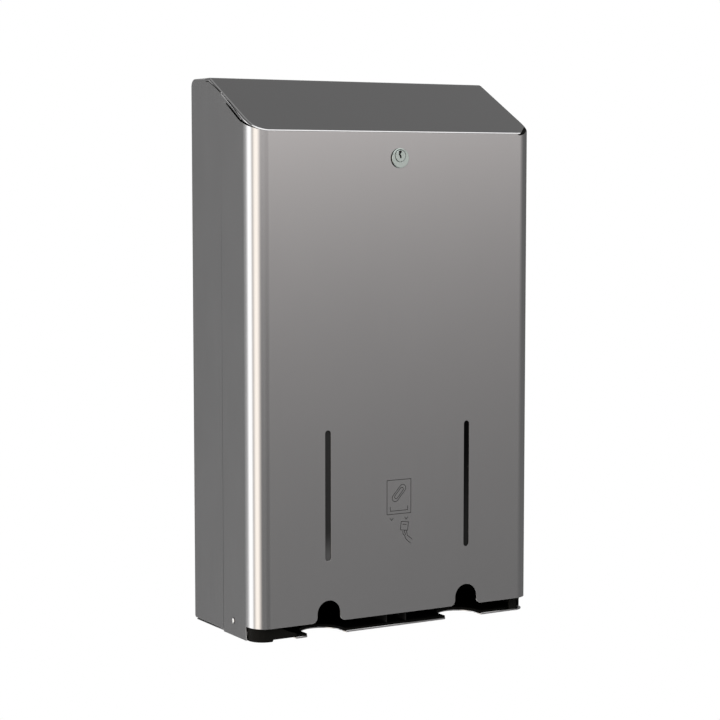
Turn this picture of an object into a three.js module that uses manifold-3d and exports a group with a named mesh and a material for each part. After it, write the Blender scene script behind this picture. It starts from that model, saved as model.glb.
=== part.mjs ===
import * as THREE from "three";
import { mergeVertices } from "three/addons/utils/BufferGeometryUtils.js";
import Module from "manifold-3d";

// A wall-mounted dispenser for two stacks of packs: a folded steel casing, and a door that tilts forward.
// Millimetres: x across the width, y from the room to the wall, z up.
// Heights are counted from the floor plate's underside, depths from the door's front face.

// Driving sizes of the whole
const width = 300;
const height = 510;
const depth = 130;
const sheet = 1;
const fit = 0.3;
const overrun = 5;
const weldDistance = 0.0001;

// Door
const cornerRadius = 16.5;
const slopeRise = 49;
const ridgeDepth = 90;
const frontBend = 2.4;
const ridgeBend = 6;
const doorBottom = 13;
const raisedDepth = 20;
const wingDepth = 65.5;
const flapFlat = 8;
const lipDepth = 1.5;
const cornerLipDepth = 2.8;
const seamGap = 0.6;
const tongueStart = 25.7;
const tongueEnd = 54;
const tongueDepth = 2.9;
const tongueSlot = 1.6;
const reliefStart = 4;
const sideGap = 0.6;
const notchWidth = 24;
const notchHeight = 20;
const notchFillet = 5.5;
const levelSlotWidth = 5;
const levelSlotBottom = 69.5;
const levelSlotLength = 120;

// Hinge and stop
const pivotDepth = 46;
const pivotHeight = 14;
const pinDiameter = 3.5;
const pinHeadDiameter = 6;
const pinHeadHeight = 1;
const clipDiameter = 8;
const clipThickness = 1;
const swingGap = 0.5;
const doorSwing = 90;
const studDiameter = 4;
const studHeadDiameter = 7;
const studHeadHeight = 1.4;
const studArcRadius = 18;
const studSlotGap = 0.4;

// Lock
const lockDrop = 24.8;
const lockDiscDiameter = 18.5;
const lockDiscHeight = 2.6;
const lockBarrelDiameter = 16;
const lockBarrelLength = 18;
const lockNutWidth = 20;
const lockNutThickness = 3;
const lockWasherDiameter = 20;
const lockWasherThickness = 0.8;
const plugOffset = 2.6;
const plugHeadDiameter = 11.6;
const plugHeadHeight = 1.8;
const plugStemDiameter = 8;
const plugSquare = 5;
const keywayWidth = 1.3;
const keywayHeight = 8;
const keywayDepth = 7;
const camThickness = 2;
const camWidth = 12;
const camLength = 24;
const camScrewDiameter = 3;
const camScrewHead = 7.5;
const camScrewHeadHeight = 2;
const keeperGap = 1;
const keeperWidth = 26;
const keeperDrop = 14;
const keeperReach = 40;
const keeperScrewShares = [0.25, 0.6];

// Casing
const backBend = 5;
const ledgeDepth = 72;
const wingLap = 9.5;
const earDepth = 22;
const earHeight = 40;
const flangeWidth = 12;
const flangeDepth = 58;
const rearFlange = 20;
const keyholeSpacingX = 200;
const keyholeRise = 65;
const keyholeDrop = 60;
const keyholeHead = 11;
const keyholeNeck = 5.5;
const keyholeTravel = 10;

// Floor
const floorThickness = 2.3;
const floorCorner = 14.5;
const thumbWidth = 40;
const thumbDepth = 34;
const linerThickness = 1.5;
const linerInset = 1;
const floorScrewInset = 5.7;

// Magazines, rails and post
const wall = 1;
const columnGap = 22;
const magazineSideGap = 7.4;
const magazineFront = 5;
const magazineRear = 18;
const magazineHeadroom = 7.8;
const returnWidth = 12;
const exitHeight = 16;
const railHeight = 30;
const railFoot = 12;
const railEndGap = 16.4;
const lowerRailHeight = 70;
const upperRailDrop = 40;
const rivetInset = 21;
const postDepth = 30;
const postGap = 0.8;

// Fasteners
const screwDiameter = 3;
const screwHead = 6;
const screwHeadHeight = 1.6;
const screwGrip = 4;
const countersinkHeight = 1.8;
const crownShare = 0.65;

// Smoothness
const roundSides = 20;
const smallSides = 12;
const cornerSteps = 10;
const bendSteps = 5;

// Values worked out from those above
const half = width / 2;
const front = -depth;
const casingHalf = half - sheet - sideGap;
const casingInside = casingHalf - sheet;
const casingBottom = floorThickness + fit;
const flapGap = sheet + fit;
const slopeFoot = height - slopeRise;
const slopeAngle = Math.atan2(slopeRise, ridgeDepth);
const flapDepth = ridgeDepth + flapFlat;
const columnWidth = casingInside - magazineSideGap - wall - columnGap / 2;
const columnSpacing = columnWidth + columnGap;
const columnCentres = [-columnSpacing / 2, columnSpacing / 2];
const pivotY = front + pivotDepth;
const lockHeight = slopeFoot - lockDrop;
const plugHeight = lockHeight + plugOffset;
const camY = front + sheet + lockBarrelLength + fit;
const keeperY = camY - keeperGap - wall;
const postTop = plugHeight + camLength + keeperGap;
const keeperShelf = postTop + fit;
const magazineTop = plugHeight - camWidth / 2 - magazineHeadroom;
const magazineBackY = -magazineRear;
const railWebY = magazineBackY + wall + fit;
const railLength = 2 * (casingInside - railEndGap);
const upperRailHeight = magazineTop - upperRailDrop;
const railLevels = [lowerRailHeight, upperRailHeight];
const bottomEdgeRadius = Math.hypot(pivotDepth - sheet, pivotHeight - doorBottom);
const floorReach = Math.sqrt((bottomEdgeRadius - swingGap) ** 2 - pivotHeight ** 2);
const floorFront = front + pivotDepth - floorReach;
const sides = [-1, 1];

// Turns a closed geometry into a solid that can be cut and joined.
function solidOf(geometry) {
  const bare = new THREE.BufferGeometry();
  bare.setAttribute("position", geometry.getAttribute("position"));
  bare.setIndex(geometry.index);
  const merged = mergeVertices(bare, weldDistance);
  const mesh = new wasm.Mesh({
    numProp: 3,
    vertProperties: merged.getAttribute("position").array,
    triVerts: new Uint32Array(merged.index.array),
  });
  return new wasm.Manifold(mesh);
}

// Turns a solid back into a flat-shaded geometry.
function geometryOf(solid) {
  const mesh = solid.getMesh();
  const indexed = new THREE.BufferGeometry();
  indexed.setAttribute("position", new THREE.BufferAttribute(mesh.vertProperties, mesh.numProp));
  indexed.setIndex(new THREE.BufferAttribute(mesh.triVerts, 1));
  const flat = indexed.toNonIndexed();
  flat.computeVertexNormals();
  return flat;
}

const wasm = await Module();
wasm.setup();

function join(...solids) {
  return solids.reduce((sum, next) => sum.add(next));
}

function cut(body, ...tools) {
  return tools.reduce((rest, tool) => rest.subtract(tool), body);
}

function shapeOf(points) {
  return new THREE.Shape(points.map(([u, v]) => new THREE.Vector2(u, v)));
}

function extrusion(points, length) {
  return new THREE.ExtrudeGeometry(shapeOf(points), { depth: length, bevelEnabled: false });
}

// A side-view outline, in y and z, drawn out along x.
function alongX(points, low, high) {
  const axes = new THREE.Matrix4().set(0, 0, 1, low, 1, 0, 0, 0, 0, 1, 0, 0, 0, 0, 0, 1);
  return solidOf(extrusion(points, high - low).applyMatrix4(axes));
}

// A front-view outline, in x and z, drawn out along y.
function alongY(points, low, high) {
  const axes = new THREE.Matrix4().set(1, 0, 0, 0, 0, 0, -1, high, 0, 1, 0, 0, 0, 0, 0, 1);
  return solidOf(extrusion(points, high - low).applyMatrix4(axes));
}

// A plan outline, in x and y, drawn out along z.
function alongZ(points, low, high) {
  return solidOf(extrusion(points, high - low).translate(0, 0, low));
}

function block([x0, x1], [y0, y1], [z0, z1]) {
  const box = new THREE.BoxGeometry(x1 - x0, y1 - y0, z1 - z0);
  return solidOf(box.translate((x0 + x1) / 2, (y0 + y1) / 2, (z0 + z1) / 2));
}

// Points of an arc from one angle to another, ends included.
function arc(u, v, radius, from, to, steps) {
  return Array.from({ length: steps + 1 }, (_, i) => {
    const angle = from + ((to - from) * i) / steps;
    return [u + radius * Math.cos(angle), v + radius * Math.sin(angle)];
  });
}

function circle(u, v, radius, sideCount = roundSides) {
  return arc(u, v, radius, 0, 2 * Math.PI, sideCount).slice(0, -1);
}

function rectangle(u0, u1, v0, v1) {
  return [
    [u0, v0],
    [u1, v0],
    [u1, v1],
    [u0, v1],
  ];
}

// A turned piece about z from radius and height pairs, which start and end on the axis.
function turned(profile, sideCount = smallSides) {
  const points = profile.map(([radius, z]) => new THREE.Vector2(radius, z));
  const lathe = new THREE.LatheGeometry(points, sideCount);
  return solidOf(lathe.rotateX(Math.PI / 2));
}

function steel(colour, roughness) {
  return new THREE.MeshStandardMaterial({ color: colour, roughness, metalness: 1 });
}

function dark(colour, roughness) {
  return new THREE.MeshStandardMaterial({ color: colour, roughness, metalness: 0 });
}

const materials = {
  stainless: () => steel(0x9c9a98, 0.32),
  black: () => dark(0x141414, 0.6),
  nickel: () => steel(0xb4bab6, 0.28),
  zinc: () => steel(0xa8a8a4, 0.4),
};

function piece(name, solid, finish) {
  const mesh = new THREE.Mesh(geometryOf(solid), materials[finish]());
  mesh.name = name;
  return mesh;
}

// The roof line in the side view, moved inwards by an offset: front bend, slope, ridge and flat top.
function slopeHeight(y, offset) {
  return slopeFoot + (y - front) * Math.tan(slopeAngle) - offset / Math.cos(slopeAngle);
}

function frontBendArc(offset) {
  const y = front + frontBend;
  const z = slopeHeight(y, frontBend);
  return arc(y, z, frontBend - offset, Math.PI, Math.PI / 2 + slopeAngle, bendSteps);
}

function ridgeArc(offset) {
  const z = height - ridgeBend;
  const rise = z + ridgeBend / Math.cos(slopeAngle) - slopeFoot;
  const y = front + rise / Math.tan(slopeAngle);
  return arc(y, z, ridgeBend - offset, Math.PI / 2 + slopeAngle, Math.PI / 2, bendSteps);
}

// Plan of the door with its round front corners, moved inwards by an offset and open to the back.
function doorPlan(offset, rear) {
  const x = half - cornerRadius;
  const y = front + cornerRadius;
  const radius = cornerRadius - offset;
  return [
    [-half + offset, rear],
    ...arc(-x, y, radius, Math.PI, 1.5 * Math.PI, cornerSteps),
    ...arc(x, y, radius, 1.5 * Math.PI, 2 * Math.PI, cornerSteps),
    [half - offset, rear],
  ];
}

// Side view of the door: raised bottom edge in front, wings down to the floor's level behind it.
function doorProfile(offset, rear, bottom) {
  return [
    [front + offset, bottom[0]],
    ...frontBendArc(offset),
    ...ridgeArc(offset),
    [rear, height - offset],
    [rear, bottom[1]],
    [front + raisedDepth, bottom[1]],
    [front + raisedDepth, bottom[0]],
  ];
}

// The gap between flap and wing: a relief at the corner, a slot under the tongue and a seam along the lip.
function flapSeam() {
  const relief = front + reliefStart;
  const tongue = front + tongueStart;
  const slotEnd = front + tongueEnd;
  const tongueLow = lipDepth + seamGap + tongueDepth;
  const slotLow = tongueLow + tongueSlot;
  const under = (y, drop) => [y, slopeHeight(y, 0) - drop];
  return [
    under(relief, cornerLipDepth),
    under(tongue - seamGap, cornerLipDepth),
    under(tongue - seamGap, lipDepth),
    ...ridgeArc(lipDepth),
    [overrun, height - lipDepth],
    [overrun, height - lipDepth - seamGap],
    ...ridgeArc(lipDepth + seamGap).reverse(),
    under(tongue, lipDepth + seamGap),
    under(tongue, tongueLow),
    under(slotEnd, tongueLow),
    under(slotEnd, slotLow),
    under(tongue, slotLow),
  ];
}

// Everything of the door's sides behind the wings and below the flap's lip.
function behindWings() {
  const rear = front + wingDepth;
  return [
    [rear, -overrun],
    [rear, slopeHeight(rear, 0) - lipDepth],
    ...ridgeArc(lipDepth),
    [overrun, height - lipDepth],
    [overrun, -overrun],
  ];
}

function notch(x) {
  const edge = notchWidth / 2;
  const foot = edge + notchFillet;
  const top = doorBottom + notchHeight - edge;
  const fillet = doorBottom + notchFillet;
  return [
    [x - foot, -overrun],
    ...arc(x - foot, fillet, notchFillet, -Math.PI / 2, 0, bendSteps),
    ...arc(x, top, edge, Math.PI, 0, cornerSteps),
    ...arc(x + foot, fillet, notchFillet, Math.PI, 1.5 * Math.PI, bendSteps),
    [x + foot, -overrun],
  ];
}

function levelSlot(x) {
  const radius = levelSlotWidth / 2;
  const low = levelSlotBottom + radius;
  const high = levelSlotBottom + levelSlotLength - radius;
  return [
    ...arc(x, high, radius, 0, Math.PI, bendSteps),
    ...arc(x, low, radius, Math.PI, 2 * Math.PI, bendSteps),
  ];
}

function frontCover() {
  const rear = front + flapDepth;
  const outer = alongZ(doorPlan(0, rear), -overrun, height + overrun)
    .intersect(alongX(doorProfile(0, rear, [doorBottom, 0]), -half - overrun, half + overrun));
  const inner = alongZ(doorPlan(sheet, rear + overrun), -overrun, height + overrun)
    .intersect(alongX(doorProfile(sheet, rear + overrun, [-overrun, -overrun]), -half, half));
  const throughFront = (outline) => alongY(outline, front - overrun, front + sheet + overrun);
  const seams = sides.map((side) => {
    const reach = side * (half - cornerRadius);
    const out = side * (half + overrun);
    return alongX(flapSeam(), Math.min(reach, out), Math.max(reach, out));
  });
  const pinHole = circle(pivotY, pivotHeight, pinDiameter / 2 + fit, smallSides);
  return cut(
    outer,
    inner,
    ...seams,
    alongX(behindWings(), -half - overrun, half + overrun),
    alongX(pinHole, -half - overrun, half + overrun),
    ...columnCentres.map((x) => throughFront(notch(x))),
    ...columnCentres.map((x) => throughFront(levelSlot(x))),
    throughFront(circle(0, lockHeight, lockBarrelDiameter / 2 + fit)),
  );
}

// The arc slot in a hinge ear, from the stud's place with the door shut to its place with the door down.
function studSlot() {
  const radius = studDiameter / 2 + studSlotGap;
  const swing = THREE.MathUtils.degToRad(doorSwing);
  const from = Math.PI / 2;
  const to = from + swing;
  const ring = [
    ...arc(pivotY, pivotHeight, studArcRadius + radius, from, to, cornerSteps),
    ...arc(pivotY, pivotHeight, studArcRadius - radius, to, from, cornerSteps),
  ];
  const end = (angle) =>
    circle(
      pivotY + studArcRadius * Math.cos(angle),
      pivotHeight + studArcRadius * Math.sin(angle),
      radius,
      smallSides,
    );
  return join(...[ring, end(from), end(to)].map((outline) => alongX(outline, -half, half)));
}

// Side view of the casing: ear, front edge, roof under the flap, step up to the flat top, bent back.
function casingOutline() {
  const side = front + wingDepth - wingLap;
  const step = front + flapDepth + fit;
  return [
    [front + earDepth, casingBottom],
    [front + earDepth, earHeight],
    [side, earHeight],
    [side, slopeHeight(side, flapGap)],
    ...ridgeArc(flapGap),
    [step, height - flapGap],
    [step, height],
    ...arc(-backBend, height - backBend, backBend, Math.PI / 2, 0, bendSteps),
    ...arc(-backBend, casingBottom + backBend, backBend, 0, -Math.PI / 2, bendSteps),
  ];
}

function casingHollow() {
  const ledge = front + ledgeDepth;
  const step = front + flapDepth + fit + sheet;
  const bend = backBend - sheet;
  const open = front - overrun;
  return [
    [open, casingBottom + sheet],
    [open, height + overrun],
    [ledge, height + overrun],
    [ledge, slopeHeight(ledge, flapGap + sheet)],
    ...ridgeArc(flapGap + sheet),
    [step, height - flapGap - sheet],
    [step, height - sheet],
    ...arc(-backBend, height - backBend, bend, Math.PI / 2, 0, bendSteps),
    ...arc(-backBend, casingBottom + backBend, bend, 0, -Math.PI / 2, bendSteps),
  ];
}

// A keyhole for a wall screw: the head goes in below and the shank slides up the neck.
function keyhole(x, z) {
  const neck = rectangle(x - keyholeNeck / 2, x + keyholeNeck / 2, z, z + keyholeTravel);
  const parts = [circle(x, z, keyholeHead / 2), neck, circle(x, z + keyholeTravel, keyholeNeck / 2)];
  return join(...parts.map((outline) => alongY(outline, -sheet - overrun, overrun)));
}

function keyholes() {
  const rows = [lowerRailHeight + keyholeRise, upperRailHeight - keyholeDrop];
  return rows.flatMap((z) => sides.map((side) => keyhole((side * keyholeSpacingX) / 2, z)));
}

function floorScrewPlaces() {
  const rows = [front + flangeDepth + flangeWidth, -flangeWidth];
  return rows.flatMap((y) => sides.map((side) => [side * (half - floorScrewInset), y]));
}

function rivetPlaces() {
  const foot = railHeight / 2 + railFoot / 2;
  const levels = [lowerRailHeight - foot, upperRailHeight + foot];
  return levels.flatMap((z) => sides.map((side) => [side * (railLength / 2 - rivetInset), z]));
}

function rearCasing() {
  const opening = casingInside - flangeWidth;
  const below = [-overrun, casingBottom + sheet + overrun];
  const screwHole = screwDiameter / 2 + fit;
  const pinHole = circle(pivotY, pivotHeight, pinDiameter / 2 + fit, smallSides);
  return cut(
    alongX(casingOutline(), -casingHalf, casingHalf),
    alongX(casingHollow(), -casingInside, casingInside),
    block([-casingInside, casingInside], [front, front + flangeDepth], below),
    block([-opening, opening], [front, -rearFlange], below),
    alongX(pinHole, -half, half),
    studSlot(),
    ...keyholes(),
    ...rivetPlaces().map(([x, z]) => screwHoleY(x, z, -sheet, 0)),
    ...floorScrewPlaces().map(([x, y]) => alongZ(circle(x, y, screwHole, smallSides), 0, earHeight)),
  );
}

// Plan of the floor with round front corners, moved inwards by an offset.
function floorPlan(offset, halfWidth, rear) {
  const radius = floorCorner - offset;
  const x = halfWidth - radius;
  const y = floorFront + offset + radius;
  return [
    [-halfWidth, rear],
    ...arc(-x, y, radius, Math.PI, 1.5 * Math.PI, cornerSteps),
    ...arc(x, y, radius, 1.5 * Math.PI, 2 * Math.PI, cornerSteps),
    [halfWidth, rear],
  ];
}

// The U-shaped thumb cut-out under one column.
function thumbCut(x, offset) {
  const radius = thumbWidth / 2 + offset;
  const y = front + thumbDepth - thumbWidth / 2;
  return [
    [x + radius, front - overrun],
    ...arc(x, y, radius, 0, Math.PI, cornerSteps),
    [x - radius, front - overrun],
  ];
}

function countersink([x, y]) {
  const wide = screwHead / 2 + fit;
  const narrow = screwDiameter / 2 + fit;
  const profile = [
    [0, -overrun],
    [wide, -overrun],
    [wide, 0],
    [narrow, countersinkHeight],
    [narrow, overrun],
    [0, overrun],
  ];
  return turned(profile).translate([x, y, 0]);
}

function floorPlate() {
  return cut(
    alongZ(floorPlan(0, casingHalf, -backBend), 0, floorThickness),
    ...columnCentres.map((x) => alongZ(thumbCut(x, 0), -overrun, overrun)),
    ...floorScrewPlaces().map(countersink),
  );
}

function trayLiner() {
  const low = floorThickness + fit;
  const high = low + linerThickness;
  const inside = casingInside - fit;
  const narrow = inside - flangeWidth;
  const rear = front + flangeDepth - fit;
  return cut(
    join(
      alongZ(floorPlan(linerInset, inside, rear), low, high),
      block([-narrow, narrow], [rear - overrun, -rearFlange - fit], [low, high]),
    ),
    ...columnCentres.map((x) => alongZ(thumbCut(x, linerInset), -overrun, high + overrun)),
  );
}

function screwHoleY(x, z, y0, y1) {
  return alongY(circle(x, z, screwDiameter / 2 + fit, smallSides), y0 - overrun, y1 + overrun);
}

// A C-channel for one stack of packs, open at the top, with lips in front and a free exit below them.
function magazine(x) {
  const inner = columnWidth / 2;
  const outer = inner + wall;
  const y0 = front + magazineFront;
  const y1 = magazineBackY + wall;
  const low = floorThickness + linerThickness + 2 * fit;
  const mouth = inner - returnWidth;
  return cut(
    block([x - outer, x + outer], [y0, y1], [low, magazineTop]),
    block([x - inner, x + inner], [y0 + wall, magazineBackY], [0, magazineTop + overrun]),
    block([x - mouth, x + mouth], [y0 - overrun, y0 + wall + overrun], [0, magazineTop + overrun]),
    block([x - inner, x + inner], [y0 - overrun, y0 + wall + overrun], [0, exitHeight]),
    ...railLevels.map((z) => screwHoleY(x, z, magazineBackY, y1)),
  );
}

// A hat section across the back, whose web carries the magazines and whose feet lie on the casing's back.
function rail(z) {
  const back = -sheet - fit;
  const web = railHeight / 2;
  const foot = web + railFoot;
  const outline = [
    [back, z - foot],
    [back, z - web + wall],
    [railWebY + wall, z - web + wall],
    [railWebY + wall, z + web - wall],
    [back, z + web - wall],
    [back, z + foot],
    [back - wall, z + foot],
    [back - wall, z + web],
    [railWebY, z + web],
    [railWebY, z - web],
    [back - wall, z - web],
    [back - wall, z - foot],
  ];
  return cut(
    alongX(outline, -railLength / 2, railLength / 2),
    ...[...columnCentres, 0].map((x) => screwHoleY(x, z, railWebY, railWebY + wall)),
    ...rivetPlaces().map(([x, level]) => screwHoleY(x, level, back - wall, back)),
  );
}

function screwHoleZ(y, z) {
  return alongZ(circle(0, y, screwDiameter / 2 + fit, smallSides), z - overrun, z + overrun);
}

function keeperScrewPlaces() {
  return keeperScrewShares.map((share) => front + postDepth + share * keeperReach);
}

// The upright between the magazines: a channel open to the front, with a plate on top for the keeper.
function centrePost() {
  const outer = columnGap / 2 - wall - postGap;
  const inner = outer - wall;
  const y0 = front + postDepth;
  const y1 = magazineBackY + wall;
  const low = floorThickness + linerThickness + 2 * fit;
  return cut(
    block([-outer, outer], [y0, y1], [low, postTop]),
    block([-inner, inner], [y0 - overrun, y1 - wall], [0, postTop - wall]),
    ...railLevels.map((z) => screwHoleY(0, z, y1 - wall, y1)),
    ...keeperScrewPlaces().map((y) => screwHoleZ(y, postTop)),
  );
}

function lockKeeper() {
  const x = [-keeperWidth / 2, keeperWidth / 2];
  const top = keeperShelf + wall;
  return cut(
    join(
      block(x, [keeperY, keeperY + wall], [keeperShelf - keeperDrop, top]),
      block(x, [keeperY, front + postDepth + keeperReach], [keeperShelf, top]),
    ),
    ...keeperScrewPlaces().map((y) => screwHoleZ(y, top)),
  );
}

// A pan-head fastener about z: the head above z = 0, the shank below.
function panScrew(length, diameter = screwDiameter, head = screwHead, headHeight = screwHeadHeight) {
  return turned([
    [0, -length],
    [diameter / 2, -length],
    [diameter / 2, 0],
    [head / 2, 0],
    [head / 2, headHeight / 2],
    [(crownShare * head) / 2, headHeight],
    [0, headHeight],
  ]);
}

function floorScrew() {
  return turned([
    [0, fit],
    [screwHead / 2, fit],
    [screwDiameter / 2, countersinkHeight + fit],
    [screwDiameter / 2, casingBottom + sheet + screwGrip],
    [0, casingBottom + sheet + screwGrip],
  ]);
}

// A hinge pin about z: the domed head outside the wing, the shank in through wing, ear and clip.
function hingePin() {
  const head = pinHeadDiameter / 2;
  const length = sheet + sideGap + sheet + 2 * fit + clipThickness + fit;
  return turned([
    [0, -length],
    [pinDiameter / 2, -length],
    [pinDiameter / 2, fit],
    [head, fit],
    [head, fit + pinHeadHeight / 2],
    [head / 2, fit + pinHeadHeight],
    [0, fit + pinHeadHeight],
  ]);
}

function ring(outer, inner, thickness, sideCount = smallSides) {
  return cut(
    alongZ(circle(0, 0, outer, sideCount), 0, thickness),
    alongZ(circle(0, 0, inner, sideCount), -overrun, thickness + overrun),
  );
}

// A stop stud about z: its shank through the arc slot, its head behind the ear.
function stopStud() {
  const through = sideGap + sheet;
  return join(
    alongZ(circle(0, 0, studDiameter / 2, smallSides), 0, through + studHeadHeight),
    alongZ(circle(0, 0, studHeadDiameter / 2, smallSides), through, through + studHeadHeight),
  );
}

function lockHousing() {
  const disc = lockDiscDiameter / 2;
  const barrel = lockBarrelDiameter / 2;
  const face = front - fit - lockDiscHeight;
  const seat = front - fit;
  const rear = camY - fit;
  const stem = circle(0, plugHeight, plugStemDiameter / 2 + fit);
  const head = circle(0, plugHeight, plugHeadDiameter / 2 + fit);
  return cut(
    join(
      alongY(circle(0, lockHeight, disc, 2 * roundSides), face, seat),
      alongY(circle(0, lockHeight, barrel), seat - lockDiscHeight / 2, rear),
    ),
    alongY(head, face - overrun, face + plugHeadHeight + fit),
    alongY(stem, face - overrun, rear + overrun),
  );
}

// A rectangle about the plug's axis.
function upright(halfWidth, halfHeight) {
  return rectangle(-halfWidth, halfWidth, plugHeight - halfHeight, plugHeight + halfHeight);
}

// The plug: head with its keyway, stem through the housing, and a square end for the cam.
function lockPlug() {
  const face = front - fit - lockDiscHeight;
  const square = plugSquare / 2;
  const slot = keywayHeight / 2;
  const side = keywayWidth / 2;
  return cut(
    join(
      alongY(circle(0, plugHeight, plugHeadDiameter / 2), face, face + plugHeadHeight),
      alongY(circle(0, plugHeight, plugStemDiameter / 2), face + plugHeadHeight / 2, camY - fit),
      alongY(upright(square, square), camY - overrun, camY + camThickness),
    ),
    alongY(upright(side, slot), face - overrun, face + plugHeadHeight / 2),
    alongY(upright(side, slot / 2), face - overrun, face + keywayDepth),
    alongY(circle(0, plugHeight, camScrewDiameter / 2 + fit, smallSides), camY - overrun, camY + overrun),
  );
}

// The cam lies across to the left while the lock is open and points up when it is shut.
function lockCam() {
  const hub = camWidth / 2;
  const hole = plugSquare / 2 + fit;
  return cut(
    join(
      alongY(circle(0, plugHeight, hub), camY, camY + camThickness),
      alongY(rectangle(-camLength, 0, plugHeight - hub, plugHeight + hub), camY, camY + camThickness),
    ),
    alongY(upright(hole, hole), camY - overrun, camY + overrun),
  );
}

function lockNut() {
  const radius = lockNutWidth / 2 / Math.cos(Math.PI / 6);
  const y = front + sheet + 2 * fit + lockWasherThickness;
  return cut(
    alongY(circle(0, lockHeight, radius, 6), y, y + lockNutThickness),
    alongY(circle(0, lockHeight, lockBarrelDiameter / 2 + fit), y - overrun, y + overrun),
  );
}

function lockWasher() {
  const y = front + sheet + fit;
  return cut(
    alongY(circle(0, lockHeight, lockWasherDiameter / 2), y, y + lockWasherThickness),
    alongY(circle(0, lockHeight, lockBarrelDiameter / 2 + fit), y - overrun, y + overrun),
  );
}

// Copies of one fastener, each its own mesh, turned so that its head looks along the given direction.
function fasteners(name, solid, places, turn) {
  return places.map(([x, y, z], i) => {
    const mesh = piece(name + "_" + (i + 1), solid, "zinc");
    mesh.position.set(x, y, z);
    mesh.rotation.set(turn, 0, 0);
    return mesh;
  });
}

function mirrored(name, solid, x, y, z, turn) {
  return sides.map((side) => {
    const mesh = piece(name + (side < 0 ? "_left" : "_right"), solid, "zinc");
    mesh.position.set(side * x, y, z);
    mesh.rotation.set(0, side * turn, 0);
    return mesh;
  });
}

function casingGroup() {
  const group = new THREE.Group();
  const headFront = Math.PI / 2;
  const screwY = magazineBackY - fit;
  const ear = casingInside - fit;
  group.add(
    piece("rear_casing", rearCasing(), "stainless"),
    piece("floor_plate", floorPlate(), "stainless"),
    piece("tray_liner", trayLiner(), "black"),
    piece("left_magazine", magazine(columnCentres[0]), "black"),
    piece("right_magazine", magazine(columnCentres[1]), "black"),
    piece("lower_rail", rail(lowerRailHeight), "zinc"),
    piece("upper_rail", rail(upperRailHeight), "zinc"),
    piece("centre_post", centrePost(), "black"),
    piece("lock_keeper", lockKeeper(), "zinc"),
    ...mirrored("hinge_pin", hingePin(), half, pivotY, pivotHeight, Math.PI / 2),
    ...mirrored(
      "hinge_clip",
      ring(clipDiameter / 2, pinDiameter / 2 + fit, clipThickness),
      ear,
      pivotY,
      pivotHeight,
      -Math.PI / 2,
    ),
    ...fasteners("floor_screw", floorScrew(), floorScrewPlaces().map(([x, y]) => [x, y, 0]), 0),
    ...fasteners(
      "rail_rivet",
      panScrew(wall + fit + sheet),
      rivetPlaces().map(([x, z]) => [x, -sheet - fit - wall - fit, z]),
      headFront,
    ),
    ...fasteners(
      "magazine_screw",
      panScrew(2 * wall + 2 * fit + screwGrip),
      railLevels.flatMap((z) => columnCentres.map((x) => [x, screwY, z])),
      headFront,
    ),
    ...fasteners(
      "post_screw",
      panScrew(2 * wall + 2 * fit + screwGrip),
      railLevels.map((z) => [0, screwY, z]),
      headFront,
    ),
    ...fasteners(
      "keeper_screw",
      panScrew(2 * wall + 2 * fit + screwGrip),
      keeperScrewPlaces().map((y) => [0, y, keeperShelf + wall + fit]),
      0,
    ),
  );
  return group;
}

function doorGroup() {
  const group = new THREE.Group();
  const studX = half - sheet - fit;
  group.add(
    piece("front_cover", frontCover(), "stainless"),
    piece("lock_housing", lockHousing(), "nickel"),
    piece("lock_washer", lockWasher(), "zinc"),
    piece("lock_nut", lockNut(), "zinc"),
    ...mirrored("stop_stud", stopStud(), studX, pivotY, pivotHeight + studArcRadius, -Math.PI / 2),
  );
  return group;
}

function plugGroup() {
  const group = new THREE.Group();
  const screw = panScrew(overrun - fit, camScrewDiameter, camScrewHead, camScrewHeadHeight);
  const mesh = piece("cam_screw", screw, "zinc");
  mesh.position.set(0, camY + camThickness + fit, plugHeight);
  mesh.rotation.set(-Math.PI / 2, 0, 0);
  group.add(piece("lock_plug", lockPlug(), "nickel"), piece("lock_cam", lockCam(), "zinc"), mesh);
  return group;
}

// The origin is the middle of the face that lies on the wall.
const dispenser = new THREE.Group();
dispenser.add(casingGroup(), doorGroup(), plugGroup());
dispenser.position.z = -height / 2;

export default dispenser;
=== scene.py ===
import math
from functools import partial

import bpy
import numpy as np
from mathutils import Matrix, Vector
from mathutils.geometry import delaunay_2d_cdt


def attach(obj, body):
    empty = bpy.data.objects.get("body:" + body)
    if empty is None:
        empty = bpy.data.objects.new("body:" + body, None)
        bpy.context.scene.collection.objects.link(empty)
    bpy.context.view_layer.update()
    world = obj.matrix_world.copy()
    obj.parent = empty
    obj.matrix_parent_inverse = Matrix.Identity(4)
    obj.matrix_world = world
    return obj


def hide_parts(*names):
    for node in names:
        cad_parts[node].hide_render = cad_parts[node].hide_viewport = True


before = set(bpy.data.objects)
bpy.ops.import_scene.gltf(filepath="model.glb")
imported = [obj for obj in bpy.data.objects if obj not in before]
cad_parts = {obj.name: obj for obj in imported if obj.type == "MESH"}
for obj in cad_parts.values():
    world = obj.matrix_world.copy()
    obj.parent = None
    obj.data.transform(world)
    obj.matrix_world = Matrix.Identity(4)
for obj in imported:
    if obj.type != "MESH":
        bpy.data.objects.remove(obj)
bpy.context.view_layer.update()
print("frame loaded,", len(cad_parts), "nodes")

# Lengths are millimetres: x across, y from the room to the wall, z up from the floor plate's underside.
body = dict(width=300.0, height=510.0, depth=130.0, sheet=1.0, fit=0.3)
half = body["width"] / 2
front = -body["depth"]
rightAngle = math.pi / 2


def arcPoints(u, v, radius, start, end, steps):
    angle = np.linspace(start, end, steps + 1)
    return np.stack([u + radius * np.cos(angle), v + radius * np.sin(angle)], axis=1)


def circlePoints(u, v, radius, steps=40):
    return arcPoints(u, v, radius, 0, 2 * math.pi, steps)[:-1]


def unit(vectors):
    return vectors / np.maximum(np.linalg.norm(vectors, axis=-1, keepdims=True), 1e-12)


# Pieces

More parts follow.
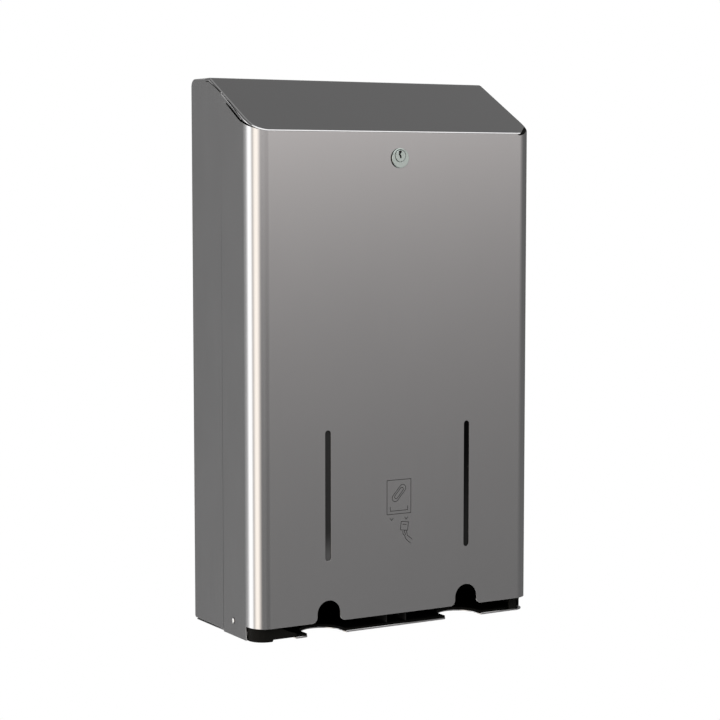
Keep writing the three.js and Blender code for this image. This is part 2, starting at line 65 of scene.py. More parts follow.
def addObject(name, data):
    made = bpy.data.objects.new(name, data)
    bpy.context.scene.collection.objects.link(made)
    return made


sharpAngle = math.radians(34)


def addPiece(name, part, material, carrier, stands=(), faceted=False):
    points, normals, faces = part
    mesh = bpy.data.meshes.new(name)
    rows = (np.asarray(points, float) - (0, 0, body["height"] / 2)) / 1000
    mesh.from_pydata(rows.tolist(), [], [list(f) for f in faces])
    mesh.validate()
    mesh.shade_smooth()
    if faceted:  # edges that turn more than the sharp angle stay sharp
        mesh.set_sharp_from_angle(angle=sharpAngle)
    else:
        mesh.normals_split_custom_set_from_vertices(np.asarray(normals, float).tolist())
    mesh.materials.append(material)
    piece = addObject(name, mesh)
    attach(piece, carrier)
    if stands:
        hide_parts(*stands)


def joinParts(*parts):  # several point, normal and face lists as one
    starts = np.cumsum([0] + [len(p[0]) for p in parts[:-1]])
    points = np.concatenate([p[0] for p in parts])
    normals = np.concatenate([p[1] for p in parts])
    faces = [[i + start for i in face] for p, start in zip(parts, starts) for face in p[2]]
    return points, normals, faces


weldShift = 0.000237  # keeps round numbers off the steps of the rounding


def weldParts(*parts):  # points on one spot to a thousandth become one point
    points, normals, faces = joinParts(*parts)
    first, group = np.unique(np.round(points + weldShift, 3), axis=0, return_index=True, return_inverse=True)[1:]
    group = group.ravel()
    faces = [list(dict.fromkeys(group[face].tolist())) for face in faces]
    return points[first], normals[first], [face for face in faces if len(face) > 2]


# Sheet metal

def insideLoops(points, loops):  # a point is inside where a line to its right crosses the loops an odd number of times
    inside = np.zeros(len(points), bool)
    for loop in loops:
        a, b = loop, np.roll(loop, -1, axis=0)
        u, v = points[:, :1], points[:, 1:2]
        rise = np.where(b[:, 1] == a[:, 1], 1.0, b[:, 1] - a[:, 1])
        crosses = ((a[:, 1] > v) != (b[:, 1] > v)) & (u < a[:, 0] + (v - a[:, 1]) * (b[:, 0] - a[:, 0]) / rise)
        inside ^= crosses.sum(1) % 2 == 1
    return inside


def insetLoop(points, free, amount):  # free edges move to their left by the amount, and corners are where they then meet
    ahead = unit(np.roll(points, -1, axis=0) - points)
    left = np.stack([-ahead[:, 1], ahead[:, 0]], axis=1)
    move = np.where(free, amount, 0.0)
    before, moveBefore = np.roll(left, 1, axis=0), np.roll(move, 1)
    along = (left * before).sum(1)
    spread = 1 - along ** 2
    safe = np.maximum(spread, 1e-6)
    a = np.where(spread > 1e-6, (moveBefore - along * move) / safe, move / 2)
    b = np.where(spread > 1e-6, (move - along * moveBefore) / safe, move / 2)
    return points + before * a[:, None] + left * b[:, None]


# A flat pattern with holes becomes a closed sheet. place() carries pattern points to the outer face and its normals,
# the inner face lies one sheet deeper, and each cut edge is a quarter round, a flat and a quarter round between them.
def sheetPart(loops, rules, place, sheet, edge, joined=None, steps=3, inner=None):
    inner = edge if inner is None else inner
    loops = [loop if isinstance(loop, tuple) else (loop, np.ones(len(loop), bool)) for loop in loops]
    inset = [insetLoop(np.asarray(points, float), free, edge) for points, free in loops]
    corners, edges = [], []
    for loop in inset:
        start = len(corners)
        corners += [Vector(p) for p in loop.tolist()]
        edges += [(start + i, start + (i + 1) % len(loop)) for i in range(len(loop))]
    for rule in rules:
        start = len(corners)
        corners += [Vector(p) for p in np.asarray(rule, float).tolist()]
        edges += [(start + i, start + i + 1) for i in range(len(rule) - 1)]
    made = delaunay_2d_cdt(corners, edges, [], 0, 1e-5)
    flat = np.array([tuple(p) for p in made[0]])
    tris = np.array([tuple(f) for f in made[2]])
    tris = tris[insideLoops(flat[tris].mean(1), inset)]
    a, b, c = flat[tris[:, 0]], flat[tris[:, 1]], flat[tris[:, 2]]
    area = (b[:, 0] - a[:, 0]) * (c[:, 1] - a[:, 1]) - (b[:, 1] - a[:, 1]) * (c[:, 0] - a[:, 0])
    tris = np.where((area > 0)[:, None], tris, tris[:, ::-1])[np.abs(area) > 1e-9]
    used, tris = np.unique(tris, return_inverse=True)
    tris, flat = tris.reshape(-1, 3), flat[used]
    count = len(flat)
    pairs = np.concatenate([tris[:, [0, 1]], tris[:, [1, 2]], tris[:, [2, 0]]])
    rim = pairs[~np.isin(pairs[:, 0] * count + pairs[:, 1], pairs[:, 1] * count + pairs[:, 0])]
    if joined is not None:
        rim = rim[~(joined(flat[rim[:, 0]]) & joined(flat[rim[:, 1]]))]
    ahead = unit(flat[rim[:, 1]] - flat[rim[:, 0]])
    right = np.stack([ahead[:, 1], -ahead[:, 0]], axis=1)
    leaving, coming = np.zeros((count, 2)), np.zeros((count, 2))
    leaving[rim[:, 0]], coming[rim[:, 1]] = right, right
    leaving = np.where((leaving ** 2).sum(1, keepdims=True) > 0, leaving, coming)
    coming = np.where((coming ** 2).sum(1, keepdims=True) > 0, coming, leaving)
    ids = np.unique(rim)
    mitre = (leaving + coming)[ids] / np.maximum(1 + (leaving * coming).sum(1)[ids], 0.2)[:, None]
    outer, facing = place(flat)
    back = flat.copy()
    back[ids] += mitre * (edge - inner)
    behind, behindFacing = place(back)
    points, normals = [outer, behind - behindFacing * sheet], [facing, -behindFacing]
    order = np.full((2 * steps + 2, count), -1)
    order[0], order[-1] = np.arange(count), np.arange(count) + count
    angle = np.linspace(0, rightAngle, steps + 1)
    out = np.concatenate([edge * np.sin(angle), edge - inner + inner * np.cos(angle)])
    deep = np.concatenate([edge - edge * np.cos(angle), sheet - inner + inner * np.sin(angle)])
    lean = np.concatenate([angle, rightAngle + angle])
    outward = unit(place(flat[ids] + unit(mitre) * 0.05)[0] - outer[ids])
    total = 2 * count
    for k in range(1, 2 * steps + 1):
        if k == steps + 1 and sheet - edge - inner < 1e-6:
            order[k] = order[k - 1]
            continue
        where, normal = place(flat[ids] + mitre * out[k])
        points.append(where - normal * deep[k])
        normals.append(normal * math.cos(lean[k]) + outward * math.sin(lean[k]))
        order[k, ids] = total + np.arange(len(ids))
        total += len(ids)
    faces = tris.tolist() + (tris[:, ::-1] + count).tolist()
    for k in range(2 * steps + 1):
        if (order[k, ids] != order[k + 1, ids]).any():
            quads = [order[k, rim[:, 1]], order[k, rim[:, 0]], order[k + 1, rim[:, 0]], order[k + 1, rim[:, 1]]]
            faces += np.stack(quads, axis=1).tolist()
    return np.concatenate(points), np.concatenate(normals), faces


def rectangle(a, b, low, high):
    return np.array([[a, low], [b, low], [b, high], [a, high]])


def flatPlace(base, across, up):  # point = base + u * across + v * up, and the normal is across x up
    base, across, up = [np.array(part, float) for part in (base, across, up)]
    return lambda p: (base + p[:, :1] * across + p[:, 1:2] * up, np.tile(np.cross(across, up), (len(p), 1)))


def frontPlate(y):  # a plane that faces the room
    return flatPlace((0, y, 0), (1, 0, 0), (0, 0, 1))


def sidePlates(loops, reach, *sizes, **more):  # a pattern of y and z on the right side, and its mirror image on the left
    right = flatPlace((reach, 0, 0), (0, 1, 0), (0, 0, 1))
    left = flatPlace((-reach, 0, 0), (0, -1, 0), (0, 0, 1))
    mirrored = [loop[::-1] * (-1, 1) for loop in loops]
    return sheetPart(loops, [], right, *sizes, **more), sheetPart(mirrored, [], left, *sizes, **more)


# A profile of radius and height pairs turned about an axis: point = base + height * axis + radius * (cos, sin) across it.
def turnedPart(profile, base, axis, steps=32):
    profile = np.asarray(profile, float)
    axis = unit(np.asarray(axis, float))
    across = unit(np.cross(axis, (0.3, 0.5, 0.8)))
    other = np.cross(axis, across)
    angle = np.linspace(0, 2 * math.pi, steps, endpoint=False)
    ring = np.cos(angle)[:, None] * across + np.sin(angle)[:, None] * other
    grid = np.asarray(base) + profile[:, None, 1:] * axis + profile[:, None, :1] * ring[None]
    rows = len(profile)
    i, j = np.meshgrid(np.arange(rows - 1), np.arange(steps), indexing="ij")
    after = (j + 1) % steps
    quads = np.stack([i * steps + j, i * steps + after, (i + 1) * steps + after, (i + 1) * steps + j], axis=-1)
    step = unit(np.gradient(profile, axis=0))
    normals = step[:, None, 1:] * ring[None] - step[:, None, :1] * axis
    return grid.reshape(-1, 3), normals.reshape(-1, 3), quads.reshape(-1, 4).tolist()


# Materials

def addNodes(tree, *kinds):
    return [tree.nodes.new("ShaderNode" + kind) for kind in kinds]


def setInputs(node, values):
    for socket, value in values.items():
        node.inputs[socket].default_value = value


def startMaterial(name, roughness, metallic=0.0, shine=0.5):
    material = bpy.data.materials.new(name)
    material.use_nodes = True
    shader = material.node_tree.nodes["Principled BSDF"]
    setInputs(shader, {"Metallic": metallic, "Roughness": roughness, "Specular IOR Level": shine})
    return material, material.node_tree, shader


def addGrain(tree, stretch, detail):  # noise on object coordinates, stretched along the grain
    where, mapping, noise = addNodes(tree, "TexCoord", "Mapping", "TexNoise")
    setInputs(mapping, {"Scale": stretch})
    setInputs(noise, {"Scale": 1.0, "Detail": detail, "Roughness": 0.6})
    tree.links.new(where.outputs["Object"], mapping.inputs["Vector"])
    tree.links.new(mapping.outputs["Vector"], noise.inputs["Vector"])
    return noise


def addRange(tree, source, ends, kind="LINEAR"):  # the first two ends are carried to the last two
    ranged = addNodes(tree, "MapRange")[0]
    ranged.interpolation_type = kind
    setInputs(ranged, dict(zip(("From Min", "From Max", "To Min", "To Max"), ends)))
    tree.links.new(source, ranged.inputs["Value"])
    return ranged.outputs["Result"]


def spread(tree, noise, ends):  # the middle of the noise, between two values
    return addRange(tree, noise.outputs["Fac"], (0.3, 0.7, *ends))


# The noise moves the colour a share up and down, between two positions of a ramp, and raises a bump.
def addTexture(tree, shader, noise, colour, variation, positions, bump, distance):
    ramp, relief = addNodes(tree, "ValToRGB", "Bump")
    for element, position, share in zip(ramp.color_ramp.elements, positions, (1 - variation, 1 + variation)):
        element.position = position
        element.color = [c * share for c in colour] + [1]
    setInputs(relief, {"Strength": bump, "Distance": distance})
    for node, way, out, target in ((ramp, "Fac", "Color", "Base Color"), (relief, "Height", "Normal", "Normal")):
        tree.links.new(noise.outputs["Fac"], node.inputs[way])
        tree.links.new(node.outputs[out], shader.inputs[target])


metalLook = dict(
    detail=4.0, ramp=(0.25, 0.75), relief=2e-5, patch=(14, 14, 9), patchDetail=2.0, patchRoughness=(-0.008, 0.008),
)
coatLook = dict(detail=3.0, variation=0.2, ramp=(0, 1), relief=8e-5)
paneLook = dict(roughness=0.5, grit=1500, gritRoughness=(0.45, 0.6))


# Metal: the grain moves colour and roughness a little, and a bump catches the light along it.
def makeMetal(name, colour, variation, roughness, grain, bump):
    material, tree, shader = startMaterial(name, sum(roughness) / 2, metallic=1.0)
    fine, broad = addGrain(tree, grain, metalLook["detail"]), addGrain(tree, metalLook["patch"], metalLook["patchDetail"])
    addTexture(tree, shader, fine, colour, variation, metalLook["ramp"], bump, metalLook["relief"])
    total = addNodes(tree, "Math")[0]
    total.operation = "ADD"
    tree.links.new(spread(tree, fine, roughness), total.inputs[0])
    tree.links.new(spread(tree, broad, metalLook["patchRoughness"]), total.inputs[1])
    tree.links.new(total.outputs["Value"], shader.inputs["Roughness"])
    return material


# Coating: a fine stipple in colour, roughness and bump, as powder coat and moulded plastic have.
def makeCoating(name, colour, roughness, stipple, bump, shine=0.5):
    material, tree, shader = startMaterial(name, sum(roughness) / 2, shine=shine)
    grit = addGrain(tree, (stipple,) * 3, coatLook["detail"])
    addTexture(tree, shader, grit, colour, coatLook["variation"], coatLook["ramp"], bump, coatLook["relief"])
    tree.links.new(spread(tree, grit, roughness), shader.inputs["Roughness"])
    return material


# Slot shade: a matt dark sheet, one grey above as painted shade and a lighter one towards its foot as painted light.
# Heights are metres.
def makeSlotShade(name, shadeGrey, footLitGrey, foot, reach):
    material, tree, shader = startMaterial(name, paneLook["roughness"], shine=0.0)
    where, split = addNodes(tree, "TexCoord", "SeparateXYZ")
    tree.links.new(where.outputs["Object"], split.inputs["Vector"])
    fade = addRange(tree, split.outputs["Z"], (foot, reach, footLitGrey, shadeGrey), "SMOOTHSTEP")
    tree.links.new(fade, shader.inputs["Base Color"])
    grit = addGrain(tree, (paneLook["grit"],) * 3, coatLook["detail"])
    tree.links.new(spread(tree, grit, paneLook["gritRoughness"]), shader.inputs["Roughness"])
    return material


satinSteel = makeMetal("satin_steel", (0.312, 0.309, 0.310), 0.012, (0.135, 0.165), (900, 900, 14), 0.02)
edgeSteel = makeMetal("bare_steel_edge", (0.36, 0.355, 0.35), 0.02, (0.2, 0.26), (500, 500, 500), 0.05)
nickelPlate = makeMetal("nickel_plate", (0.355, 0.40, 0.38), 0.02, (0.22, 0.28), (700, 700, 700), 0.05)
zincPlate = makeMetal("zinc_plate", (0.42, 0.42, 0.40), 0.05, (0.3, 0.4), (300, 300, 300), 0.1)
blackCoat = makeCoating("black_powder_coat", (0.008, 0.008, 0.008), (0.5, 0.62), 1400, 0.2, 0.08)
blackPlastic = makeCoating("black_plastic", (0.002, 0.002, 0.0018), (0.55, 0.66), 2200, 0.12, 0.03)
# The corners' black plastic is a shade lighter than the tray's: painted light for their brighter tone
litCornerPlastic = makeCoating("corner_plastic_lit", (0.004, 0.0039, 0.0034), (0.5, 0.6), 2200, 0.12, 0.03)
etchedInk = makeCoating("etched_dark_line", (0.048, 0.048, 0.048), (0.5, 0.6), 2600, 0.1)
# Painted shade for the inside of each level slot, darker on the right, with painted light towards the foot
leftSlotShade = makeSlotShade("left_slot_shade", 0.019, 0.06, -0.184, -0.158)
rightSlotShade = makeSlotShade("right_slot_shade", 0.002, 0.011, -0.184, -0.075)
print("materials made")

# Front cover: one sheet, wrapped round the front and bent back over the top.
cover = dict(
    cornerRadius=15.2, easedRadius=55.0, easedFrom=80.0, slopeRise=49.0, ridgeDepth=90.0, bend=2.4, ridgeBend=6.0,
    bottom=13.0, raisedDepth=20.0, wingDepth=65.5, flapDepth=98.0, footRadius=1.2, edge=0.12, wingLean=(0.8, -0.6),
    seam=0.75, tongueStart=25.7, tongueEnd=54.0,
    columns=(-75.0, 75.0), notchWidth=24.0, notchHeight=20.0, notchFillet=5.5,
    slots=(-75.8, 75.0), slotWidth=5.9, slotBottom=69.5, slotLength=120.4, lockHeight=436.2, lockHole=8.3,
    pinDepth=46.0, pinHeight=14.0, pinHole=2.05, cornerSteps=26, bendSteps=8,
)
# Lines under the roof line, as depth and drop: the lip's lower edge, the slot's two sides, and the relief behind the corner
lipLine = np.array([
    [25.1, 2.6], [30.0, 2.45], [38.0, 1.95], [46.0, 1.5], [54.0, 1.25], [60.0, 1.0], [66.0, 0.9], [72.0, 1.05],
    [78.0, 1.5], [82.0, 2.1], [86.0, 2.6], [89.5, 2.9], [94.0, 3.0], [98.0, 3.0],
])
slotTop = np.array([[54.0, 4.5], [46.0, 3.9], [38.0, 4.25], [30.0, 4.65], [25.7, 4.8]])
slotFoot = np.array([[25.1, 6.75], [30.0, 7.05], [38.0, 6.8], [46.0, 6.35], [54.0, 5.9]])
slotEnd = np.array([[1.6, 4.5], [2.2, 4.9], [1.5, 5.45]]) + (cover["tongueEnd"], 0)
reliefUpper = np.array([[5.0, 1.3], [10.0, 1.9], [15.5, 2.45], [20.0, 3.4], [24.4, 4.0], [25.0, 4.1]])
reliefLower = np.array([[24.6, 6.1], [20.0, 5.3], [15.5, 4.25], [10.0, 2.7], [5.0, 1.65], [3.4, 1.4], [3.5, 1.2]])

slopeFoot = body["height"] - cover["slopeRise"]
slopeAngle = math.atan2(cover["slopeRise"], cover["ridgeDepth"])
ridgeZ = body["height"] - cover["ridgeBend"]
ridgeY = front + (ridgeZ + cover["ridgeBend"] / math.cos(slopeAngle) - slopeFoot) / math.tan(slopeAngle)
slopeEnd = ridgeY - cover["ridgeBend"] * math.sin(slopeAngle)
easedTurn = math.radians(cover["easedFrom"])
tightReach = cover["cornerRadius"] * math.sin(easedTurn)
tightDepth = cover["cornerRadius"] * (1 - math.cos(easedTurn))
tightLength = cover["cornerRadius"] * easedTurn
flatReach = half - tightReach - cover["easedRadius"] * (1 - math.sin(easedTurn))
cornerLength = tightLength + cover["easedRadius"] * (rightAngle - easedTurn)
cornerDepth = tightDepth + cover["easedRadius"] * math.cos(easedTurn)


def roofHeight(y, under=0):  # slope, ridge arc and flat top, or a line that far under them
    radius = cover["ridgeBend"] - under
    arc = ridgeZ + np.sqrt(np.clip(radius ** 2 - (y - ridgeY) ** 2, 0, None))
    line = slopeFoot + (y - front) * math.tan(slopeAngle) - under / math.cos(slopeAngle)
    return np.where(y < ridgeY - radius * math.sin(slopeAngle), line, np.where(y < ridgeY, arc, body["height"] - under))


def roofNormal(y):
    lean = np.arcsin(np.clip((ridgeY - y) / cover["ridgeBend"], 0, math.sin(slopeAngle)))
    return np.stack([0 * y, -np.sin(lean), np.cos(lean)], axis=1)


def along(depth):  # distance round the cover's plan from the middle of the front, at a depth behind it
    depth = np.asarray(depth, float)
    tight = np.arccos(np.clip(1 - depth / cover["cornerRadius"], math.cos(easedTurn), 1))
    eased = np.arccos(np.clip(math.cos(easedTurn) - (depth - tightDepth) / cover["easedRadius"], 0, math.cos(easedTurn)))
    past = np.maximum(depth - cornerDepth, 0)
    return flatReach + cover["cornerRadius"] * tight + cover["easedRadius"] * (eased - easedTurn) + past


# Plan point, wall normal, bend centre, roof normal and bend angle at a distance round the plan. The corner turns on a
# tight arc and then an easy one into the side. The bend's centre lies one radius inside the wall and under the roof.
def coverBend(s):
    reach, side = np.abs(s), np.sign(s)
    run = np.clip(reach - flatReach, 0, cornerLength)
    tight = np.minimum(run, tightLength) / cover["cornerRadius"]
    turn = tight + np.maximum(run - tightLength, 0) / cover["easedRadius"]
    easedX = cover["easedRadius"] * (np.sin(np.maximum(turn, easedTurn)) - math.sin(easedTurn))
    easedY = cover["easedRadius"] * (math.cos(easedTurn) - np.cos(np.maximum(turn, easedTurn)))
    x = side * (np.minimum(reach, flatReach) + cover["cornerRadius"] * np.sin(tight) + easedX)
    y = front + cover["cornerRadius"] * (1 - np.cos(tight)) + easedY + np.maximum(reach - flatReach - cornerLength, 0)
    wall = np.stack([side * np.sin(turn), -np.cos(turn), 0 * turn], axis=1)
    radius = cover["bend"]
    centreY = y - radius * wall[:, 1]
    foot = centreY
    for turnIn in range(14):
        foot = centreY + radius * roofNormal(foot)[:, 1]
    roof = roofNormal(foot)
    centre = np.stack([x - radius * wall[:, 0], centreY, roofHeight(foot) - radius * roof[:, 2]], axis=1)
    return wall, centre, roof, np.arccos(np.clip((wall * roof).sum(1), -1, 1))


def seamHeight(s):  # pattern height of the line where bend and roof meet
    wall, centre, roof, angle = coverBend(s)
    return centre[:, 2] + cover["bend"] * angle


# Up to the bend's start the pattern height is the real height, and past it the arc's length.
def coverPlace(p):
    s, v = p[:, 0], p[:, 1]
    wall, centre, roof, angle = coverBend(s)
    over = np.clip((v - centre[:, 2]) / cover["bend"], 0, angle)
    normal = (np.sin(angle - over)[:, None] * wall + np.sin(over)[:, None] * roof) / np.sin(angle)[:, None]
    base = centre.copy()
    base[:, 2] = np.minimum(v, centre[:, 2])
    return base + cover["bend"] * normal, normal


def roofPlace(p):
    return np.stack([p[:, 0], p[:, 1], roofHeight(p[:, 1])], axis=1), roofNormal(p[:, 1])


def underRoof(depth, drop):  # pattern points at a depth behind the front and a drop under the roof line there
    s = along(np.asarray(depth, float))
    wall, centre, roof, angle = coverBend(s)
    z = roofHeight(front + np.asarray(depth, float)) - drop
    rise = (z - centre[:, 2]) / cover["bend"] * np.sin(angle) / roof[:, 2]
    over = np.arcsin(np.clip(rise, 0, 1))
    return np.stack([s, np.where(rise > 0, centre[:, 2] + cover["bend"] * over, z)], axis=1)


def coverNotch(x):
    edge, fillet = cover["notchWidth"] / 2, cover["notchFillet"]
    low, top = cover["bottom"] + fillet, cover["bottom"] + cover["notchHeight"] - edge
    return np.concatenate([
        arcPoints(x - edge - fillet, low, fillet, -rightAngle, 0, 8),
        arcPoints(x, top, edge, math.pi, 0, 24),
        arcPoints(x + edge + fillet, low, fillet, math.pi, 3 * rightAngle, 8),
    ])


def coverSlot(x):
    radius = cover["slotWidth"] / 2
    low, high = cover["slotBottom"] + radius, cover["slotBottom"] + cover["slotLength"] - radius
    ends = [arcPoints(x, high, radius, 0, math.pi, 12), arcPoints(x, low, radius, math.pi, 2 * math.pi, 12)]
    return np.concatenate(ends)[::-1]


ridgeFeet = np.linspace(slopeEnd, ridgeY, 7)
ridgeDepths = ridgeFeet - cover["bend"] * roofNormal(ridgeFeet)[:, 1] - front
cornerStops = flatReach + cornerLength * np.linspace(0, 1, cover["cornerSteps"] + 1)
sideStops = along(np.concatenate([[24, 40, 65], ridgeDepths, [94]]))
stops = np.concatenate([cornerStops, sideStops, [float(along(cover["flapDepth"]))]])
bothStops = np.concatenate([-stops[::-1], stops])


def coverOutline():
    wing, raised, foot, tongue = [cover[name] for name in ("wingDepth", "raisedDepth", "footRadius", "tongueStart")]
    upper, lower = [raised + lean for lean in cover["wingLean"]]
    lip = lipLine[lipLine[:, 0] < wing]
    wingTop = np.interp(wing, *lipLine.T)
    right = np.concatenate([
        coverNotch(cover["columns"][1]),
        np.array([[along(upper), cover["bottom"]]]),
        arcPoints(along(lower) + foot, foot, foot, math.pi, 3 * rightAngle, 5),
        np.array([[along(wing), 0]]),
        underRoof([wing], [wingTop + cover["seam"]]),
        underRoof(*(lip[1:][::-1] + (0, cover["seam"])).T),
        underRoof([tongue], [float(np.interp(tongue, *lipLine.T)) + cover["seam"]]),
        underRoof(*slotTop[::-1].T),
        underRoof(*slotEnd.T),
        underRoof(*slotFoot[::-1].T),
        underRoof(*reliefLower.T),
        underRoof(*reliefUpper.T),
        underRoof(*lip.T),
        underRoof([wing], [wingTop]),
        underRoof(ridgeDepths, np.interp(ridgeDepths, *lipLine.T)),
        underRoof(*lipLine[-2:].T),
    ])
    top = np.stack([stops[::-1], seamHeight(stops[::-1])], axis=1)
    points = np.concatenate([right, top, top[::-1] * (-1, 1), right[::-1] * (-1, 1)])
    free = np.ones(len(points), bool)
    free[len(right):len(right) + 2 * len(top) - 1] = False
    return points, free


def coverRules():
    wall, centre, roof, angle = coverBend(bothStops)
    start = centre[:, 2]
    shares = np.linspace(0, 1, cover["bendSteps"] + 1)[:-1]
    rows = [np.stack([bothStops, start + share * cover["bend"] * angle], axis=1) for share in shares]
    low = np.where(np.abs(bothStops) < flatReach + cornerLength + 0.01, -5.0, start)
    columns = [np.array([[s, a], [s, b]]) for s, a, b in zip(bothStops, low, seamHeight(bothStops))]
    return rows + columns


def buildCover():
    pinAt, pinHeight, pinHole = along(cover["pinDepth"]), cover["pinHeight"], cover["pinHole"]
    holes = [coverSlot(x) for x in cover["slots"]]
    holes.append(circlePoints(0, cover["lockHeight"], cover["lockHole"])[::-1])
    holes += [circlePoints(side * pinAt, pinHeight, pinHole, 20)[::-1] for side in (-1, 1)]
    wrap = sheetPart(
        [coverOutline()] + holes, coverRules(), coverPlace, body["sheet"], cover["edge"],
        lambda p: np.abs(p[:, 1] - seamHeight(p[:, 0])) < 0.002,
    )
    wall, centre, roof, angle = coverBend(bothStops)
    seam = (centre + cover["bend"] * roof)[:, :2]
    ridgeLines = [np.array([[-half, y], [half, y]]) for y in ridgeFeet]
    rear = front + cover["flapDepth"] - cover["edge"]
    top = sheetPart(
        [(seam, np.arange(len(seam)) == len(seam) - 1)], ridgeLines, roofPlace, body["sheet"], cover["edge"],
        lambda p: p[:, 1] < rear - 0.01,
    )
    return weldParts(wrap, top)


addPiece("cover_shell", buildCover(), satinSteel, "door", ["front_cover"])
print("cover made")

# Rear casing: two side plates, and one strip folded over the top, down the back and under. A flange's hole is given by its
# distance from the middle, its depth and its radius.
casing = dict(
    half=148.4, bottom=1.3, earDepth=22.0, earHeight=40.0, sideDepth=56.0, ledgeDepth=72.0, topBend=7.0, lowBend=2.4,
    gap=1.3, edge=0.8, inner=0.1, riser=0.35, stripEdge=0.12, flange=12.0, flangeDepth=58.0, rearFlange=20.0,
    flangeGap=0.3, flangeEdge=0.15, flangeHole=(144.3, 60.0, 1.8),
    keyholes=((-100.0, 135.0), (100.0, 135.0), (-100.0, 325.0), (100.0, 325.0)),
    head=5.5, neck=2.75, travel=10.0, studRadius=18.0, studSlot=2.4,
)


def ridgePoints(under):
    y = ridgeY - (cover["ridgeBend"] - under) * np.sin(np.linspace(slopeAngle, 0, 7))
    return np.stack([y, roofHeight(y, under)], axis=1)


def ledgePoint(depth):  # on the line of the casing's ledge
    y = front + depth
    return [y, float(roofHeight(np.array(y), casing["gap"]))]


def casingSideOutline():
    ear, side, step = front + casing["earDepth"], front + casing["sideDepth"], front + cover["flapDepth"] + body["fit"]
    bend, foot, top, low = casing["topBend"], casing["lowBend"], body["height"], casing["bottom"]
    return np.concatenate([
        [[ear, casing["earHeight"]], [ear, low]],
        arcPoints(-foot, low + foot, foot, -rightAngle, 0, 8),
        arcPoints(-bend, top - bend, bend, 0, rightAngle, 10),
        [[step, top], [step, top - casing["gap"]]],
        ridgePoints(casing["gap"])[::-1],
        [ledgePoint(casing["sideDepth"]), [side, casing["earHeight"]]],
    ])


def studSlot():  # an arc about the pin
    radius, wide, y, z = casing["studRadius"], casing["studSlot"], front + cover["pinDepth"], cover["pinHeight"]
    return np.concatenate([
        arcPoints(y, z, radius + wide, rightAngle, 2 * rightAngle, 16),
        arcPoints(y - radius, z, wide, math.pi, 2 * math.pi, 8)[1:-1],
        arcPoints(y, z, radius - wide, 2 * rightAngle, rightAngle, 16),
        arcPoints(y, z + radius, wide, -rightAngle, rightAngle, 8)[1:-1],
    ])[::-1]


def keyhole(x, q):  # a head and, further up, the round end of its neck
    opening = math.asin(casing["neck"] / casing["head"])
    return np.concatenate([
        arcPoints(x, q, casing["head"], -rightAngle + opening, 3 * rightAngle - opening, 24),
        arcPoints(x, q - casing["travel"], casing["neck"], math.pi, 2 * math.pi, 10),
    ])[::-1]


def buildCasing():
    pin = circlePoints(front + cover["pinDepth"], cover["pinHeight"], cover["pinHole"], 20)[::-1]
    loops = [casingSideOutline(), pin, studSlot()]
    right, left = sidePlates(loops, casing["half"], body["sheet"], casing["edge"], steps=4, inner=casing["inner"])
    bend, foot, top, low, riser = casing["topBend"], casing["lowBend"], body["height"], casing["bottom"], casing["riser"]
    step = front + cover["flapDepth"] + body["fit"]
    path = np.concatenate([
        [ledgePoint(casing["ledgeDepth"])],
        ridgePoints(casing["gap"]),
        arcPoints(step - riser, top - casing["gap"] + riser, riser, -rightAngle, 0, 4),
        arcPoints(step + riser, top - riser, riser, math.pi, rightAngle, 4),
        arcPoints(-bend, top - bend, bend, rightAngle, 0, 10),
        arcPoints(-foot, low + foot, foot, 0, -rightAngle, 6),
        [[-casing["rearFlange"], low]],
    ])
    lengths = np.concatenate([[0], np.cumsum(np.linalg.norm(np.diff(path, axis=0), axis=1))])
    ahead = unit(np.diff(path, axis=0))
    turned = np.stack([-ahead[:, 1], ahead[:, 0]], axis=1)
    corner = unit(np.concatenate([turned[:1], turned[:-1] + turned[1:], turned[-1:]]))

    def stripPlace(p):  # across the width, and along the folded strip's outer line
        q = np.clip(p[:, 1], 0, lengths[-1])
        y, z, lean, rise = [np.interp(q, lengths, row) for row in (*path.T, *corner.T)]
        points = np.stack([p[:, 0], y, z], axis=1)
        beyond = (p[:, 1] - q)[:, None]
        points[:, 1:] += beyond * ((beyond > 0) * ahead[-1] + (beyond < 0) * ahead[0])
        return points, unit(np.stack([0 * q, lean, rise], axis=1))

    inside = casing["half"] - body["sheet"]
    lines = [np.array([[-half, q], [half, q]]) for q in lengths[1:-1]]
    backStart = lengths[np.argmin(np.abs(path[:, 0]) + np.abs(path[:, 1] - (top - bend)))]
    holes = [keyhole(x, backStart + (top - bend) - z) for x, z in casing["keyholes"]]
    strip = rectangle(-inside, inside, 0, lengths[-1])
    folded = sheetPart([strip] + holes, lines, stripPlace, body["sheet"], casing["stripEdge"])
    under = flatPlace((0, 0, low), (1, 0, 0), (0, -1, 0))
    holeX, holeDepth, holeRadius = casing["flangeHole"]
    flanges = []
    for side in (-1, 1):
        a, b = sorted((side * inside, side * (inside - casing["flange"])))
        plan = rectangle(a, b, casing["rearFlange"] + casing["flangeGap"], -front - casing["flangeDepth"])
        hole = circlePoints(side * holeX, holeDepth, holeRadius, 16)[::-1]
        flanges.append(sheetPart([plan, hole], [], under, body["sheet"], casing["flangeEdge"]))
    return joinParts(left, right, folded, *flanges)


addPiece("casing_shell", buildCasing(), satinSteel, "casing", ["rear_casing"])

# Shade strips: thin black strips on each side plate, painted shade for the dark lines along the lip's lower edge and
# along the wing's rear edge. The three numbers of the wing are steps from its edge to the strip's front, and to its
# rear at the foot and at the top.
shadeStrip = dict(
    rise=0.35, clear=0.02, edge=0.08, back=2.6, over=0.4, heights=((66.0, 82.0, 90.0), (0.65, 0.65, 0.45)),
    wing=(-0.3, 2.9, 2.5), foot=2.5, under=1.0,
)


